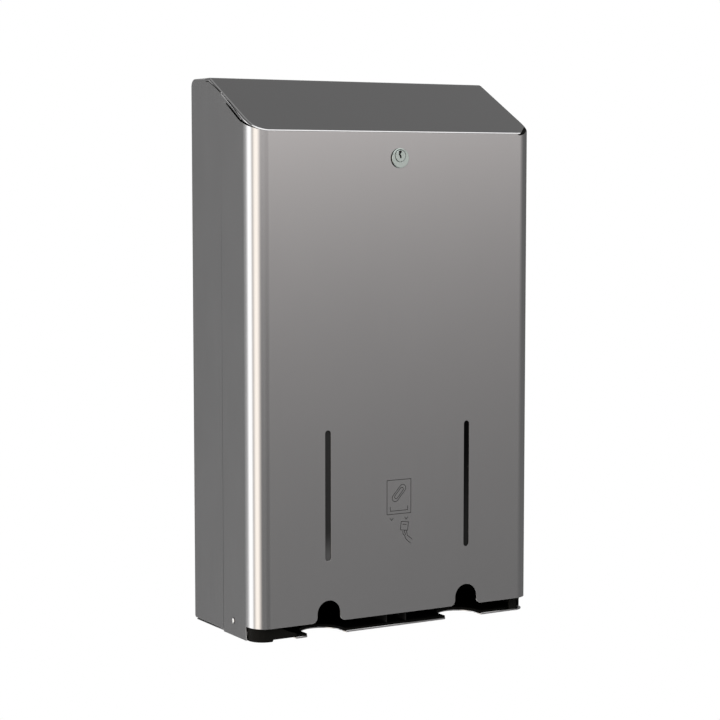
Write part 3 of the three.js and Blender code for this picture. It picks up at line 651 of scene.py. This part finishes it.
def buildShadeStrips():
    depth, drop = lipLine[lipLine[:, 0] > cover["wingDepth"]].T
    z = roofHeight(front + depth) - drop
    y = front + np.minimum(depth + shadeStrip["back"], cover["flapDepth"] + (depth - depth[-1]) / 2)
    upper = np.stack([y, z + shadeStrip["over"]], axis=1)
    lower = np.stack([y, z - np.interp(depth, *shadeStrip["heights"])], axis=1)
    near, farFoot, farTop = [front + cover["wingDepth"] + step for step in shadeStrip["wing"]]
    foot, top = shadeStrip["foot"], z[0] - shadeStrip["under"]
    loops = np.concatenate([lower, upper[::-1]]), np.array([[near, foot], [farFoot, foot], [farTop, top], [near, top]])
    reach, thickness = casing["half"] + shadeStrip["rise"], shadeStrip["rise"] - shadeStrip["clear"]
    right, left = zip(*[sidePlates([loop], reach, thickness, shadeStrip["edge"]) for loop in loops])
    return joinParts(*right, *left)


addPiece("lip_shade_strips", buildShadeStrips(), blackPlastic, "casing")
print("casing made")

# Floor: a steel plate with a raised front edge and a black tray, both with a thumb cut-out under each column, and black
# plastic corners, a shade lighter than the tray as painted light. The left corner wraps round the plate, which has a
# notch there.
floor = dict(
    half=148.4, corner=14.5, nose=3.75, rear=5.0, thumbWidth=40.0, thumbDepth=34.0, thickness=1.2, edge=0.35,
    screw=3.3, screwX=144.3, screwDepths=(60.0, 12.0), clear=0.02,
    hem=1.25, hemFoot=0.1, hemTop=1.95, hemEdge=0.6, hemRuns=((-106.8, -95.6), (-54.4, 54.4), (95.6, 133.9)),
    notchFrom=-131.6, notchTo=-107.0, setBack=8.0, wrapEnd=2.9, wrapGap=0.2, wrapPast=2.6,
    trayHalf=136.0, trayBase=1.25, trayTop=3.8, trayEdge=0.4, trayInner=0.2, trayFit=0.35, trayStep=0.1,
    recess=2.6, recessLeft=-106.7, recessRight=127.2, block=2.0, blockEdge=0.25, blockRise=1.5, blockLift=0.05,
)
nose = -front - floor["nose"]


def frontEdge(line, inset):  # from right to left, with the two thumb cut-outs
    thumb, middle = floor["thumbWidth"] / 2 + inset, -front - floor["thumbDepth"] + floor["thumbWidth"] / 2
    pieces = []
    for x in cover["columns"][::-1]:
        pieces += [[[x + thumb, line]], arcPoints(x, middle, thumb, 0, -math.pi, 28), [[x - thumb, line]]]
    return np.concatenate(pieces)


def plateOutline():  # plan seen from under the floor: x across, and distance in front of the wall
    plateHalf, corner, rear, start, end = [floor[name] for name in ("half", "corner", "rear", "notchFrom", "notchTo")]
    reach, middle, line, back = plateHalf - corner, nose - corner, nose - floor["hem"], nose - floor["setBack"]
    step, wrapEnd = floor["block"] + floor["wrapGap"], nose - corner - floor["wrapEnd"]
    return np.concatenate([
        [[-plateHalf, rear], [plateHalf, rear]],
        arcPoints(reach, middle, corner, 0, rightAngle, 14),
        [[reach, line]], frontEdge(line, 0),
        [[end, line], [end, back], [start, back], [start, nose - step]],
        arcPoints(-reach, middle, corner - step, rightAngle, math.pi, 14),
        [[-plateHalf + step, wrapEnd], [-plateHalf, wrapEnd]],
    ])


def trayOutline():
    line, back, side = nose - floor["hem"] - floor["trayStep"], nose - floor["recess"], floor["trayHalf"]
    fit, left, right = floor["trayFit"], floor["recessLeft"], floor["recessRight"]
    rear = floor["rear"] + fit
    return np.concatenate([
        [[-side, rear], [side, rear], [side, back], [right, back], [right, line]], frontEdge(line, fit),
        [[left, line], [left, back], [-side, back]],
    ])


def cornerPlace(p):  # along the front and round either corner, and up
    reach, radius, side = floor["half"] - floor["corner"], floor["corner"] + floor["blockLift"], np.sign(p[:, 0])
    run = np.maximum(np.abs(p[:, 0]) - reach, 0)
    turn = np.minimum(run / floor["corner"], rightAngle)
    x = side * (np.minimum(np.abs(p[:, 0]), reach) + radius * np.sin(turn))
    straight = np.maximum(run - floor["corner"] * rightAngle, 0)
    y = -nose - floor["blockLift"] + radius * (1 - np.cos(turn)) + straight
    return np.stack([x, y, p[:, 1]], axis=1), np.stack([side * np.sin(turn), -np.cos(turn), 0 * turn], axis=1)


def buildPlate():
    spots = [(side * floor["screwX"], depth) for side in (-1, 1) for depth in floor["screwDepths"]]
    screws = [circlePoints(x, depth, floor["screw"], 20)[::-1] for x, depth in spots]
    under = flatPlace((0, 0, 0), (1, 0, 0), (0, -1, 0))
    plate = sheetPart([plateOutline()] + screws, [], under, floor["thickness"], floor["edge"], steps=4)
    hems = []
    for a, b in floor["hemRuns"]:
        loop = rectangle(a, b, floor["hemFoot"], floor["hemTop"])
        hems.append(sheetPart([loop], [], frontPlate(-nose), floor["hem"] - floor["clear"], floor["hemEdge"], steps=5))
    return joinParts(plate, *hems)


def buildTray():
    over = flatPlace((0, 0, floor["trayTop"]), (1, 0, 0), (0, 1, 0))
    outline, thickness = trayOutline()[::-1] * (1, -1), floor["trayTop"] - floor["trayBase"]
    return sheetPart([outline], [], over, thickness, floor["trayEdge"], steps=4, inner=floor["trayInner"])


def buildBlocks():  # outlines seen from the front: distance round the floor's corner, and height
    low, high = floor["hemTop"] + floor["clear"], cover["bottom"] + floor["blockRise"]
    reach = floor["half"] - floor["corner"]
    far = floor["half"] - floor["corner"] * (1 - rightAngle) + floor["wrapPast"]
    left = np.array([
        [-far, 0.12], [-131.9, 0.12], [-131.3, 0.4], [-130.6, low], [-106.9, low], [-106.9, 5.3], [-111, 6.5],
        [-115.3, 8.1], [-119, 9.9], [-122.5, 11.6], [-126, high], [-far, high],
    ])
    right = np.array([[127.4, low], [136.2, low], [136.2, 9.8], [139.6, 10.1], [141.2, 11.6], [141.2, high], [127.4, high]])
    turns = np.linspace(reach, reach + floor["corner"] * rightAngle, 15)
    blocks = []
    for side, loop in ((-1, left), (1, right)):
        end = np.abs(loop[:, 0]).max() - 0.05
        lines = [np.array([[side * s, -1.0], [side * s, high + 1]]) for s in turns if s < end]
        blocks.append(sheetPart([loop], lines, cornerPlace, floor["block"], floor["blockEdge"], steps=3))
    return joinParts(*blocks)


addPiece("floor_shell", buildPlate(), satinSteel, "casing", ["floor_plate"])
addPiece("tray_shell", buildTray(), blackPlastic, "casing", ["tray_liner"])
addPiece("tray_corners", buildBlocks(), litCornerPlastic, "casing")
print("floor made")

# Corner gap shade: a black crescent laid on the right corner's bend, painted shade for the dark groove between the
# flap's round corner and the wall; the left corner has none. The tables give distances round the plan from the corner's
# start, and the crescent's two sides as distances from the wall over the bend and roof.
gap = dict(
    reach=(-2.7, 0, 3.9, 7.2, 9.0, 12.7, 17.4, 19.5), outer=(-0.3, -0.8, -0.1, 0.8, 1.4, 1.7, 2.4, 3.9),
    inner=(-0.1, 1.0, 3.1, 4.6, 5.1, 5.2, 4.9, 4.1), lift=0.03, depth=0.25, stations=36, across=8,
)


def buildGapShade():
    reach = np.linspace(gap["reach"][0], gap["reach"][-1], gap["stations"])
    wall, centre, roof, angle = [part[:, None] for part in coverBend(flatReach + reach)]
    share = np.linspace(0, 1, gap["across"])
    outer, inner = [np.interp(reach, gap["reach"], gap[side])[:, None] for side in ("outer", "inner")]
    way = outer + (inner - outer) * share
    over = np.clip(way / cover["bend"], 0, angle)[..., None]
    angle = angle[..., None]
    normal = (np.sin(angle - over) * wall + np.sin(over) * roof) / np.sin(angle)
    onward = (np.cos(angle) * roof - wall) / np.sin(angle)
    skin = centre + cover["bend"] * normal + np.maximum(way[..., None] - cover["bend"] * angle, 0) * onward
    skin[..., 2] += np.minimum(way, 0)
    rings = np.concatenate([skin + gap["lift"] * normal, (skin - gap["depth"] * normal)[:, ::-1]], axis=1)
    count = 2 * gap["across"]
    index = np.arange(gap["stations"] * count).reshape(gap["stations"], count)
    around = np.roll(index, -1, axis=1)
    sides = np.stack([index[1:], around[1:], around[:-1], index[:-1]], axis=-1).reshape(-1, 4)
    return rings.reshape(-1, 3), None, sides.tolist() + [index[0].tolist(), index[-1][::-1].tolist()]


addPiece("corner_gap_shade", buildGapShade(), blackPlastic, "door", faceted=True)
print("corner gap made")

# Panes: a dark strip behind each level slot, painted with the shade seen through the slot and lighter towards its foot.
pane = dict(margin=3.0, gap=0.05, thickness=0.8, edge=0.15)


def buildPane(x):
    across, margin, low = cover["slotWidth"] / 2 + pane["margin"], pane["margin"], cover["slotBottom"]
    loop = rectangle(x - across, x + across, low - margin, low + cover["slotLength"] + margin)
    return sheetPart([loop], [], frontPlate(front + body["sheet"] + pane["gap"]), pane["thickness"], pane["edge"])


for x, name, slotShade in zip(cover["slots"], ("left", "right"), (leftSlotShade, rightSlotShade)):
    addPiece("slot_pane_" + name, buildPane(x), slotShade, "door")
print("panes made")

# Lock: disc and barrel, and the plug set above their middle. Its keyway is seen from the front, about the plug's middle.
lock = dict(
    disc=9.1, discAt=(0.3, 0.5), discHeight=1.4, discEdge=0.45, gasket=0.45, gasketInset=0.12, barrel=8.0, barrelLength=18.0,
    offset=2.6, plug=5.4, plugFit=0.25, plugRise=0.35, plugHeight=1.0, plugLap=0.3, stem=4.0, stemFit=0.3, depth=7.0,
    shaftPast=2.0, tip=2.5, tipLength=4.3,
)
keyway = np.array([
    [-1.15, 4.6], [1.05, 4.6], [1.35, 3.8], [0.9, 3.0], [0.3, 2.2], [-0.2, 1.2], [0.5, 0.3], [1.05, -0.7], [1.0, -2.1],
    [0.6, -2.5], [-0.35, -2.3], [-0.55, -0.7], [-1.25, 0.3], [-1.95, 1.2], [-1.55, 2.2], [-1.5, 3.0], [-1.8, 3.8],
])
lockFace = front - body["fit"] - lock["discHeight"]
plugAt = cover["lockHeight"] + lock["offset"]


def buildLock():
    middle, radius, stem = cover["lockHeight"], lock["disc"], lock["stem"] + lock["stemFit"]
    atX, atZ = lock["discAt"]
    hole = circlePoints(0, plugAt, lock["plug"] + lock["plugFit"], 48)[::-1]
    rim, ring = [circlePoints(atX, middle + atZ, r, 64) for r in (radius, radius - lock["gasketInset"])]
    thickness = lock["discHeight"] - lock["gasket"]
    disc = sheetPart([rim, hole], [], frontPlate(lockFace), thickness, lock["discEdge"], steps=5, inner=0.2)
    start, end = lockFace + lock["discHeight"], front + body["sheet"] + lock["barrelLength"]
    loops = [circlePoints(0, middle, lock["barrel"], 48), circlePoints(0, plugAt, stem, 32)[::-1]]
    barrel = sheetPart(loops, [], frontPlate(start), end - start, 0.3)
    gasket = sheetPart([ring, hole], [], frontPlate(start - lock["gasket"]), lock["gasket"] - 0.02, 0.1)
    return joinParts(disc, barrel), gasket


def buildPlug():
    slot, stem, rise = keyway + (0, plugAt), lock["stem"], lock["plugHeight"]
    loops = [circlePoints(0, plugAt, lock["plug"], 56), slot]
    head = sheetPart(loops, [], frontPlate(lockFace - lock["plugRise"]), rise + lock["plugLap"], 0.3, steps=4, inner=0.12)
    loops = [circlePoints(0, plugAt, stem, 40), slot * (0.8, 1)]
    throat = sheetPart(loops, [], frontPlate(lockFace + rise), lock["depth"] - rise, 0.1)
    start, tip, tipLength = lockFace + lock["depth"], lock["tip"], lock["tipLength"]
    reach = front + body["sheet"] + lock["barrelLength"] + body["fit"] + lock["shaftPast"] - start
    profile = [
        [0, 0], [stem - 0.3, 0], [stem, 0.3], [stem, reach - tipLength - 0.1],
        [tip, reach - tipLength], [tip, reach - 0.1], [0, reach - 0.1],
    ]
    return head, throat, weldParts(turnedPart(profile, (0, start, plugAt), (0, 1, 0)))


lockPart, gasketShadePart = buildLock()
addPiece("lock_face", lockPart, nickelPlate, "door", ["lock_housing"])
# The black ring under the disc is painted shade: its dark edge gives the dark arcs at the disc's left rim
addPiece("lock_gasket_shade", gasketShadePart, blackPlastic, "door")
headPart, throatShadePart, shaftPart = buildPlug()
addPiece("lock_plug_face", headPart, nickelPlate, "plug", ["lock_plug"])
# A black throat behind the keyway, painted shade for the dark inside the keyway
addPiece("lock_keyway_shade", throatShadePart, blackPlastic, "plug")
addPiece("lock_shaft", shaftPart, nickelPlate, "plug", faceted=True)
print("lock made")

# Hinge pins: low domed heads on the wings.
pin = dict(radius=1.75, head=3.0, rise=1.0, length=4.6, rim=0.15)


def buildPin(side):
    radius, head, length, low = pin["radius"], pin["head"], pin["length"], body["fit"]
    dome = arcPoints(0, 0, 1, 0, rightAngle, 7) * (head - 0.35, pin["rise"] - pin["rim"])
    profile = np.concatenate([
        [[0, -length], [radius - 0.2, -length], [radius, -length + 0.3], [radius, low]],
        [[head - 0.1, low], [head, low + pin["rim"]]],
        dome + (0.2, low + pin["rim"]),
    ])
    profile[-1, 0] = 0
    base = (side * half, front + cover["pinDepth"], cover["pinHeight"])
    return weldParts(turnedPart(profile, base, (side, 0, 0)))


for side, name in ((-1, "left"), (1, "right")):
    addPiece("pin_head_" + name, buildPin(side), edgeSteel, "casing", ["hinge_pin_" + name], faceted=True)
print("pins made")

# Etched sign above the exits: a generic pad in a frame, arrows, and a hand that takes a pack.
sign = dict(line=0.48, lift=0.03, sink=0.005, padTurn=48, packTurn=-8)


def ribbonPart(points, closed=False):  # a line of points becomes a strip one line width wide, laid on the front
    points = np.asarray(points, float)
    back = np.roll(points, 1, axis=0) if closed else np.concatenate([2 * points[:1] - points[1:2], points[:-1]])
    ahead = np.roll(points, -1, axis=0) if closed else np.concatenate([points[1:], 2 * points[-1:] - points[-2:-1]])
    one, two = unit(points - back), unit(ahead - points)
    left = np.stack([-(one + two)[:, 1], (one + two)[:, 0]], axis=1)
    left = unit(left) / np.maximum(np.sqrt((1 + (one * two).sum(1, keepdims=True)) / 2), 0.4) * sign["line"] / 2
    count = len(points)
    edges = np.concatenate([points + left, points - left])
    y = np.repeat([front - sign["lift"], front - sign["sink"]], 2 * count)
    grid = np.concatenate([edges, edges])
    solid = np.stack([grid[:, 0], y, grid[:, 1]], axis=1)
    i = np.arange(count if closed else count - 1)
    j = (i + 1) % count
    quads = (
        [i, j, j + count, i + count], [i + 2 * count, i + 3 * count, j + 3 * count, j + 2 * count],
        [i, i + 2 * count, j + 2 * count, j], [i + count, j + count, j + 3 * count, i + 3 * count],
    )
    faces = np.concatenate([np.stack(quad, axis=1) for quad in quads]).tolist()
    if not closed:
        faces += [[0, count, 3 * count, 2 * count], [count - 1, 3 * count - 1, 4 * count - 1, 2 * count - 1]]
    return solid, np.tile([0, -1.0, 0], (len(solid), 1)), faces


def turnPoints(points, angle, u, v):
    c, s = math.cos(math.radians(angle)), math.sin(math.radians(angle))
    return np.asarray(points, float) @ np.array([[c, s], [-s, c]]) + (u, v)


def capsule(reach, radius, steps):
    ends = [(reach, -rightAngle, rightAngle), (-reach, rightAngle, 3 * rightAngle)]
    return np.concatenate([arcPoints(u, 0, radius, start, end, steps) for u, start, end in ends])


def buildSign():
    padTurn, packTurn = sign["padTurn"], sign["packTurn"]
    lines = [
        (rectangle(-13, 13, 107, 139), True),
        (turnPoints(capsule(6, 3.4, 10), padTurn, 0, 126.5), True),
        (turnPoints(capsule(4.6, 1.7, 8), padTurn, 0, 126.5), True),
        ([[-9.5, 114], [-9.5, 110], [9.5, 110], [9.5, 114]], False),
        (turnPoints(rectangle(-4, 4, -4, 4), packTurn, 6, 95), True),
        (turnPoints([[-2.2, 1.4], [2.2, 1.4]], packTurn, 6, 95), False),
    ]
    lines += [([[x - 1.8, 103.5], [x, 101.2], [x + 1.8, 103.5]], False) for x in (-8.0, 8.0)]
    hand = [[4.2, 90.2], [4.6, 87.4], [6.4, 85.8], [7.2, 83.2], [9.6, 80.6], [12.8, 78.2]]
    thumb = [[7.6, 91.2], [8.6, 88.6], [9.2, 86.0], [11.8, 83.8], [14.6, 81.6]]
    finger = [[5.6, 91.4], [6.2, 88.9], [7.5, 86.4]]
    lines += [(line, False) for line in (hand, thumb, finger)]
    return joinParts(*[ribbonPart(points, closed) for points, closed in lines])


addPiece("etched_sign", buildSign(), etchedInk, "door")
print("sign made")

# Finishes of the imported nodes: black magazines and post, and plated hardware
for name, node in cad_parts.items():
    node.data.materials.clear()
    node.data.materials.append(blackCoat if name in ("left_magazine", "right_magazine", "centre_post") else zincPlate)

# Camera, floor and light
view = dict(place=(-0.9732, -1.7148, 0.1633), tilt=84.852, turn=-30.435, lens=100.86)
camera = addObject("camera", bpy.data.cameras.new("camera"))
camera.location = view["place"]
camera.rotation_euler = (math.radians(view["tilt"]), 0, math.radians(view["turn"]))
camera.data.lens = view["lens"]
camera.data.sensor_width = 36
bpy.context.scene.camera = camera

ground = dict(size=1.6, height=-0.62)
edge = ground["size"] / 2
groundMesh = bpy.data.meshes.new("ground")
groundMesh.from_pydata([(-edge, -edge, 0), (edge, -edge, 0), (edge, edge, 0), (-edge, edge, 0)], [], [(0, 1, 2, 3)])
groundPlane = addObject("ground", groundMesh)
groundPlane.location = (0, -0.07, ground["height"])
pale, tree, shader = startMaterial("pale_floor", 0.9)
setInputs(shader, {"Base Color": (0.8, 0.8, 0.8, 1)})
white, rays, mix = addNodes(tree, "Emission", "LightPath", "MixShader")
tree.links.new(rays.outputs["Is Camera Ray"], mix.inputs["Fac"])
tree.links.new(shader.outputs["BSDF"], mix.inputs[1])
tree.links.new(white.outputs["Emission"], mix.inputs[2])
tree.links.new(mix.outputs["Shader"], tree.nodes["Material Output"].inputs["Surface"])
groundMesh.materials.append(pale)

# World: white to the camera and through glass. Everything else sees a grey room with light strips at the left, a glow that
# fades below the horizon in front, a broad softbox above the front, and darker ground and rear wall. Turns are degrees
# from the room side towards the left, and heights are the upward part of a direction.
room = dict(
    wall=0.39, rightWall=0.34, rightRise=0.095, rightRiseTurns=(-50, -15), rightTurns=(10, 40),
    rear=0.25, rearTurns=(157, 170, -110, -85), shade=0.13, shadeTurns=(-24, -8, 0, 24),
    glow=1.05, glowTurns=(-75, -10, 44, 75), glowDip=0.33, glowDipTurns=(-31, -8), glowFade=0.09,
    glowHeights=(0.02, 0.1, 0.12, 0.26), glowTint=(1.05, 0.99, 0.97),
    strips=(
        ((36, 70, 77, 114), 2.6, (1.09, 1.0, 0.90)),
        ((96, 115, 133, 143), 2.75, (1.0, 1.0, 1.0)),
        ((110, 140, 147, 152), 0.47, (1.0, 1.0, 1.0)),
    ),
    stripHeights=(-0.75, -0.5, 0.3, 0.5),
    ceiling=0.32, ceilingHeights=(0.2, 0.45), ground=0.12, groundHeights=(-0.65, -0.3),
    softbox=2.6, softboxHeights=(0.45, 0.6), softboxFront=(-0.06, 0.03), softboxSides=(0.62, 0.85),
)


def makeWorld():
    world = bpy.data.worlds.new("studio")
    bpy.context.scene.world = world
    world.use_nodes = True
    tree = world.node_tree

    def work(operation, *values, kind="Math"):  # numbers are set, and outputs of other nodes are linked
        node = addNodes(tree, kind)[0]
        node.operation = operation
        for socket, value in zip(node.inputs, values):
            if isinstance(value, bpy.types.NodeSocket):
                tree.links.new(value, socket)
            else:
                socket.default_value = value
        return node.outputs[0]

    times, plus, minus = [partial(work, name) for name in ("MULTIPLY", "ADD", "SUBTRACT")]

    def ease(value, low, high):  # smooth rise from 0 at low to 1 at high
        return addRange(tree, value, (low, high, 0, 1), "SMOOTHSTEP")

    def fall(value, low, high):
        return minus(1.0, ease(value, low, high))

    def band(value, stops):
        return times(ease(value, stops[0], stops[1]), fall(value, stops[2], stops[3]))

    def tinted(level, tint):
        colour = work("SCALE", tint, kind="VectorMath")
        tree.links.new(level, colour.node.inputs["Scale"])
        return colour

    def added(a, b):
        return work("ADD", a, b, kind="VectorMath")

    where, split = addNodes(tree, "TexCoord", "SeparateXYZ")
    tree.links.new(where.outputs["Generated"], split.inputs["Vector"])
    across, back, up = split.outputs
    ahead = times(back, -1.0)
    turn = work("DEGREES", work("ARCTAN2", times(across, -1.0), ahead))

    risen = room["rightWall"] + room["rightRise"]
    wall = plus(room["rightWall"], times(ease(turn, *room["rightRiseTurns"]), room["rightRise"]))
    wall = plus(wall, times(ease(turn, *room["rightTurns"]), room["wall"] - risen))
    wall = minus(wall, times(band(turn, room["shadeTurns"]), room["shade"]))
    wall = minus(wall, times(ease(turn, *room["rearTurns"][:2]), room["wall"] - room["rear"]))
    wall = minus(wall, times(fall(turn, *room["rearTurns"][2:]), room["rightWall"] - room["rear"]))
    level = times(wall, times(fall(up, *room["ceilingHeights"]), ease(up, *room["groundHeights"])))
    level = plus(level, times(ease(up, *room["ceilingHeights"]), room["ceiling"]))
    level = plus(level, times(fall(up, *room["groundHeights"]), room["ground"]))
    box = times(ease(up, *room["softboxHeights"]), ease(ahead, *room["softboxFront"]))
    box = times(box, fall(work("ABSOLUTE", across), *room["softboxSides"]))
    light = tinted(plus(level, times(box, room["softbox"])), (1.0, 1.0, 1.0))
    start, flat, fadeLow, fadeHigh = room["glowHeights"]
    power = work("DIVIDE", minus(work("MINIMUM", up, flat), start), room["glowFade"])
    glow = times(work("EXPONENT", power), times(band(turn, room["glowTurns"]), fall(up, fadeLow, fadeHigh)))
    dip = minus(1.0, times(ease(turn, *room["glowDipTurns"]), room["glowDip"]))
    light = added(light, tinted(times(times(glow, dip), room["glow"]), room["glowTint"]))
    for turns, strength, tint in room["strips"]:
        strip = times(band(turn, turns), band(up, room["stripHeights"]))
        light = added(light, tinted(times(strip, strength), tint))

    rays, mix = addNodes(tree, "LightPath", "Mix")
    mix.data_type = "RGBA"
    seen = work("MAXIMUM", rays.outputs["Is Camera Ray"], rays.outputs["Is Transmission Ray"])
    tree.links.new(seen, mix.inputs["Factor"])
    tree.links.new(light, mix.inputs[6])
    mix.inputs[7].default_value = (1, 1, 1, 1)
    tree.links.new(mix.outputs[2], tree.nodes["Background"].inputs["Color"])


makeWorld()

lamp = dict(toward=(-0.05, 0.33, 0.94), target=(0, -0.065, 0), distance=2.2, size=(1.1, 1.1), power=1.5)
area = bpy.data.lights.new("overhead_rear", "AREA")
area.shape = "RECTANGLE"
area.size, area.size_y = lamp["size"]
area.energy = lamp["power"]
holder = addObject("overhead_rear", area)
toward = Vector(lamp["toward"]).normalized()
holder.location = Vector(lamp["target"]) + toward * lamp["distance"]
holder.rotation_euler = (-toward).to_track_quat("-Z", "Y").to_euler()

bpy.context.scene.view_settings.view_transform = "Standard"
print("scene ready")
